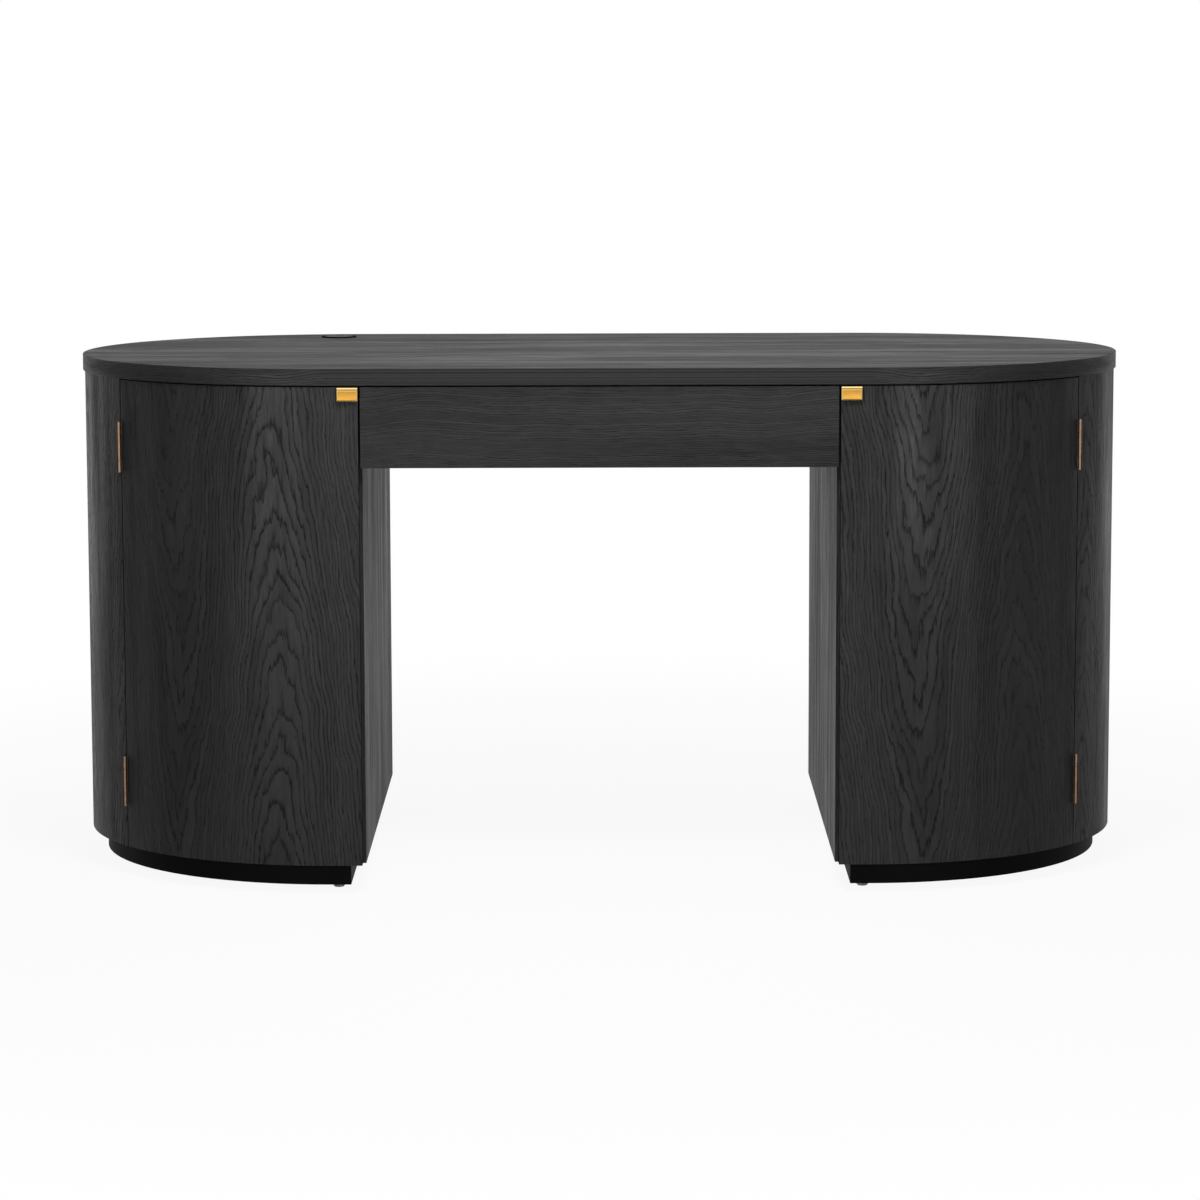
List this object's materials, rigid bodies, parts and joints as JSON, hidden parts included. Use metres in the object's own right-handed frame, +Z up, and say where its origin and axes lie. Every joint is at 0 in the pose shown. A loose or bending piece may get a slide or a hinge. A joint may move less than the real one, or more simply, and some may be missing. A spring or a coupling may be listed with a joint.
{
  "type": "executive desk",
  "caption": "Oval-topped executive desk on D-shaped pedestals with bent hinged doors, shelves and recessed plinths, and a wide drawer on telescopic slides over the kneehole.",
  "frame": {"origin": "on the floor, under the middle of the desk", "axes": "+X along the desk to the user's right, +Y to the back, away from the user, +Z up"},
  "size_m": [1.6, 0.805, 0.782],
  "materials": {
    "black_stained_ash": "black-stained open-pore ash veneer, satin lacquer",
    "black_painted_board": "matt black paint",
    "birch": "clear satin lacquer on birch plywood",
    "beech": "plain fluted beech",
    "antique_brass": "darkened antique brass, satin",
    "brushed_brass": "brushed and lacquered",
    "zinc_plated_steel": "bright zinc plate",
    "black_plastic": "fine moulded texture",
    "white_nylon": "smooth moulded nylon",
    "catch_plastic": "moulded case"
  },
  "bodies": {
    "carcass": {"desktop": "black_stained_ash", "grommet_liner": "black_plastic", "rear_apron": "black_stained_ash", "carcass_dowels": "beech", "shelf_pins": "zinc_plated_steel", "glides": "white_nylon", "plinth_blocks": "black_painted_board", "inner_panel_left": "black_stained_ash", "curved_panel_left": "black_stained_ash", "top_panel_left": "black_stained_ash", "bottom_panel_left": "black_stained_ash", "hinge_stile_left": "black_stained_ash", "shelf_left": "black_stained_ash", "plinth_curved_left": "black_painted_board", "plinth_inner_left": "black_painted_board", "hinge_fixed_leaves_left": "antique_brass", "hinge_pins_left": "antique_brass", "slide_cabinet_member_left": "zinc_plated_steel", "door_catch_left": "catch_plastic", "inner_panel_right": "black_stained_ash", "curved_panel_right": "black_stained_ash", "top_panel_right": "black_stained_ash", "bottom_panel_right": "black_stained_ash", "hinge_stile_right": "black_stained_ash", "shelf_right": "black_stained_ash", "plinth_curved_right": "black_painted_board", "plinth_inner_right": "black_painted_board", "hinge_fixed_leaves_right": "antique_brass", "hinge_pins_right": "antique_brass", "slide_cabinet_member_right": "zinc_plated_steel", "door_catch_right": "catch_plastic"},
    "left_door": {"door_left": "black_stained_ash", "pull_left": "brushed_brass", "strike_plate_left": "zinc_plated_steel", "hinge_door_leaves_left": "antique_brass"},
    "right_door": {"door_right": "black_stained_ash", "pull_right": "brushed_brass", "strike_plate_right": "zinc_plated_steel", "hinge_door_leaves_right": "antique_brass"},
    "drawer": {"drawer_front": "black_stained_ash", "drawer_box_front": "birch", "drawer_side_left": "birch", "drawer_side_right": "birch", "drawer_back": "birch", "drawer_bottom": "birch", "drawer_front_dowels": "beech", "slide_drawer_member_left": "zinc_plated_steel", "slide_drawer_member_right": "zinc_plated_steel"},
    "middle_members": {"slide_middle_member_left": "zinc_plated_steel", "slide_middle_member_right": "zinc_plated_steel"},
    "outer_cages": {"slide_outer_cages": "zinc_plated_steel"},
    "inner_cages": {"slide_inner_cages": "zinc_plated_steel"},
    "cap": {"grommet_cap": "black_plastic"}
  },
  "joints": [
    {"name": "right_door_hinge", "type": "hinge", "parent": "carcass", "child": "right_door", "pos_m": [0.72129, -0.24036, 0.4], "axis": [0, 0, 1], "range_deg": [0, 110]},
    {"name": "left_door_hinge", "type": "hinge", "parent": "carcass", "child": "left_door", "pos_m": [-0.72129, -0.24036, 0.4], "axis": [0, 0, -1], "range_deg": [0, 110]},
    {"name": "drawer_slide", "type": "slide", "parent": "carcass", "child": "drawer", "axis": [0, -1, 0], "range_m": [0, 0.4]},
    {"name": "middle_member_slide", "type": "slide", "parent": "carcass", "child": "middle_members", "axis": [0, -1, 0], "range_m": [0, 0.2]},
    {"name": "outer_cage_slide", "type": "slide", "parent": "carcass", "child": "outer_cages", "axis": [0, -1, 0], "range_m": [0, 0.1]},
    {"name": "inner_cage_slide", "type": "slide", "parent": "carcass", "child": "inner_cages", "axis": [0, -1, 0], "range_m": [0, 0.3]},
    {"name": "grommet_cap_lift", "type": "slide", "parent": "carcass", "child": "cap", "axis": [0, 0, 1], "range_m": [0, 0.04]}
  ],
  "couplings": [
    {"joint": "middle_member_slide", "follows": "drawer_slide", "ratio": 0.5},
    {"joint": "outer_cage_slide", "follows": "drawer_slide", "ratio": 0.25},
    {"joint": "inner_cage_slide", "follows": "drawer_slide", "ratio": 0.75}
  ]
}
